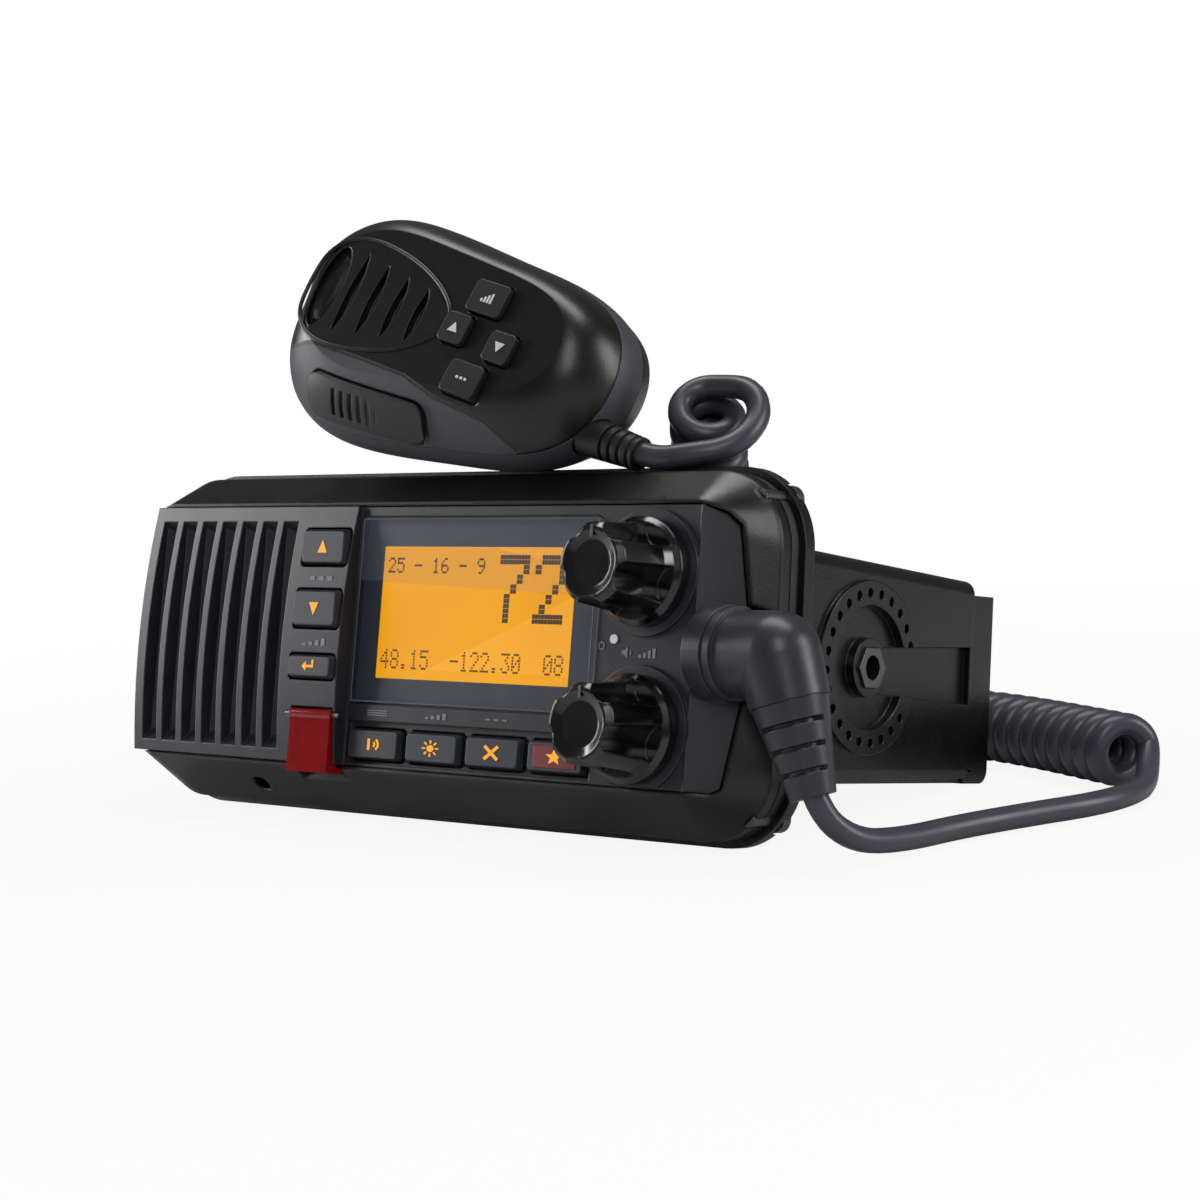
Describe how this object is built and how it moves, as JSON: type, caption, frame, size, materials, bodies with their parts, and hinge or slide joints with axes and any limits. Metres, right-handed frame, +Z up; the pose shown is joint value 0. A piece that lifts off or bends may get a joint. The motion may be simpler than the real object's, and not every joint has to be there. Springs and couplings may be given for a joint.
{
  "type": "vhf marine radio",
  "caption": "Fixed-mount marine radio with display, turning dials, keys, flip cover and a fist microphone on a curly cord.",
  "frame": {"origin": "centre of the bounding box at the floor, without the cord", "axes": "+X to the right seen from the front, +Y to the back, +Z up; the radio rests nose-up on its flange and its rear lower edge"},
  "size_m": [0.2111, 0.1498, 0.1273],
  "materials": {
    "black_shell": "fine moulded grain",
    "grey_panel": "fine moulded grain",
    "window": "gloss window",
    "display": "backlit",
    "silicone": "soft",
    "red_cover": "clear red",
    "steel": "plated",
    "red_key": "soft",
    "lamp": "clear",
    "gasket": "soft",
    "cast_case": "painted black",
    "brass": "blackened",
    "gland": "soft",
    "speaker": "paper cone",
    "board": "resist",
    "cord": "semi-matt jacket",
    "mic_shell": "fine moulded grain",
    "mic_grip": "soft",
    "badge": "gloss",
    "relief": "soft",
    "knob": "gloss",
    "control": "plain",
    "keys": "soft"
  },
  "bodies": {
    "radio": {"antenna_socket": "steel", "bracket_nuts": "brass", "case_screws": "steel", "cord_floor_tail": "cord", "cord_lower_coil": "cord", "cord_mic_tail": "cord", "cord_upper_coil": "cord", "display_module": "display", "display_window": "window", "distress_cover_pin": "steel", "front_bezel": "black_shell", "front_board": "board", "front_panel": "grey_panel", "keypad_mat": "silicone", "main_board": "board", "microphone_plug": "cord", "plug_strain_relief": "cord", "power_lamp": "lamp", "power_lead_gland": "gland", "rear_case": "cast_case", "rubber_gasket": "gasket", "speaker": "speaker", "squelch_control": "control", "volume_control": "control"},
    "microphone": {"mic_back_shell": "mic_shell", "mic_badge": "badge", "mic_board": "board", "mic_capsule": "steel", "mic_front_shell": "mic_shell", "mic_grip_band": "mic_grip", "mic_strain_relief": "relief"},
    "distress_button_body": {"distress_button": "red_key"},
    "distress_cover_body": {"distress_cover": "red_cover"},
    "down_key_body": {"down_key": "keys"},
    "enter_key_body": {"enter_key": "keys"},
    "mic_channel_down_key_body": {"mic_channel_down_key": "keys"},
    "mic_channel_up_key_body": {"mic_channel_up_key": "keys"},
    "mic_lower_key_body": {"mic_lower_key": "keys"},
    "mic_upper_key_body": {"mic_upper_key": "keys"},
    "push_to_talk_bar_body": {"push_to_talk_bar": "mic_grip"},
    "row_key_1_body": {"row_key_1": "keys"},
    "row_key_2_body": {"row_key_2": "keys"},
    "row_key_3_body": {"row_key_3": "keys"},
    "row_key_4_body": {"row_key_4": "keys"},
    "squelch_dial": {"squelch_knob": "knob", "squelch_shaft": "steel"},
    "up_key_body": {"up_key": "keys"},
    "volume_dial": {"volume_knob": "knob", "volume_shaft": "steel"}
  },
  "joints": [
    {"name": "up_key_press", "type": "slide", "parent": "radio", "child": "up_key_body", "axis": [0, 0.9779, -0.209], "range_m": [0, 0.0008], "stiffness_N_per_m": 400, "springref_m": -0.0005},
    {"name": "down_key_press", "type": "slide", "parent": "radio", "child": "down_key_body", "axis": [0, 0.9779, -0.209], "range_m": [0, 0.0008], "stiffness_N_per_m": 400, "springref_m": -0.0005},
    {"name": "enter_key_press", "type": "slide", "parent": "radio", "child": "enter_key_body", "axis": [0, 0.9779, -0.209], "range_m": [0, 0.0008], "stiffness_N_per_m": 400, "springref_m": -0.0005},
    {"name": "row_key_1_press", "type": "slide", "parent": "radio", "child": "row_key_1_body", "axis": [0, 0.9779, -0.209], "range_m": [0, 0.0008], "stiffness_N_per_m": 400, "springref_m": -0.0005},
    {"name": "row_key_2_press", "type": "slide", "parent": "radio", "child": "row_key_2_body", "axis": [0, 0.9779, -0.209], "range_m": [0, 0.0008], "stiffness_N_per_m": 400, "springref_m": -0.0005},
    {"name": "row_key_3_press", "type": "slide", "parent": "radio", "child": "row_key_3_body", "axis": [0, 0.9779, -0.209], "range_m": [0, 0.0008], "stiffness_N_per_m": 400, "springref_m": -0.0005},
    {"name": "row_key_4_press", "type": "slide", "parent": "radio", "child": "row_key_4_body", "axis": [0, 0.9779, -0.209], "range_m": [0, 0.0008], "stiffness_N_per_m": 400, "springref_m": -0.0005},
    {"name": "distress_button_press", "type": "slide", "parent": "radio", "child": "distress_button_body", "axis": [0, 0.9779, -0.209], "range_m": [0, 0.0008], "stiffness_N_per_m": 400, "springref_m": -0.0005},
    {"name": "distress_cover_hinge", "type": "hinge", "parent": "radio", "child": "distress_cover_body", "pos_m": [0, -0.04695, 0.02441], "axis": [-1, 0, 0], "range_deg": [0, 80], "stiffness_Nm_per_rad": 0.004, "springref_deg": -8.59},
    {"name": "volume_turn", "type": "hinge", "parent": "radio", "child": "volume_dial", "pos_m": [0.0602, -0.0373, 0.05426], "axis": [0, 0.9779, -0.209], "range_deg": [0, 290]},
    {"name": "squelch_turn", "type": "hinge", "parent": "radio", "child": "squelch_dial", "pos_m": [0.0602, -0.04361, 0.02472], "axis": [0, 0.9779, -0.209], "range_deg": [0, 290]},
    {"name": "microphone_lift", "type": "slide", "parent": "radio", "child": "microphone", "axis": [0, 0, 1], "range_m": [0, 0.07], "deforming": ["cord_mic_tail"]},
    {"name": "push_to_talk_press", "type": "slide", "parent": "microphone", "child": "push_to_talk_bar_body", "axis": [0.0903, 0.9511, 0.2955], "range_m": [0, 0.0012], "stiffness_N_per_m": 500, "springref_m": -0.0005},
    {"name": "mic_upper_key_press", "type": "slide", "parent": "microphone", "child": "mic_upper_key_body", "axis": [-0.1373, 0.8829, -0.449], "range_m": [0, 0.0008], "stiffness_N_per_m": 400, "springref_m": -0.0005},
    {"name": "mic_channel_up_key_press", "type": "slide", "parent": "microphone", "child": "mic_channel_up_key_body", "axis": [-0.1373, 0.8829, -0.449], "range_m": [0, 0.0008], "stiffness_N_per_m": 400, "springref_m": -0.0005},
    {"name": "mic_channel_down_key_press", "type": "slide", "parent": "microphone", "child": "mic_channel_down_key_body", "axis": [-0.1373, 0.8829, -0.449], "range_m": [0, 0.0008], "stiffness_N_per_m": 400, "springref_m": -0.0005},
    {"name": "mic_lower_key_press", "type": "slide", "parent": "microphone", "child": "mic_lower_key_body", "axis": [-0.1373, 0.8829, -0.449], "range_m": [0, 0.0008], "stiffness_N_per_m": 400, "springref_m": -0.0005}
  ]
}
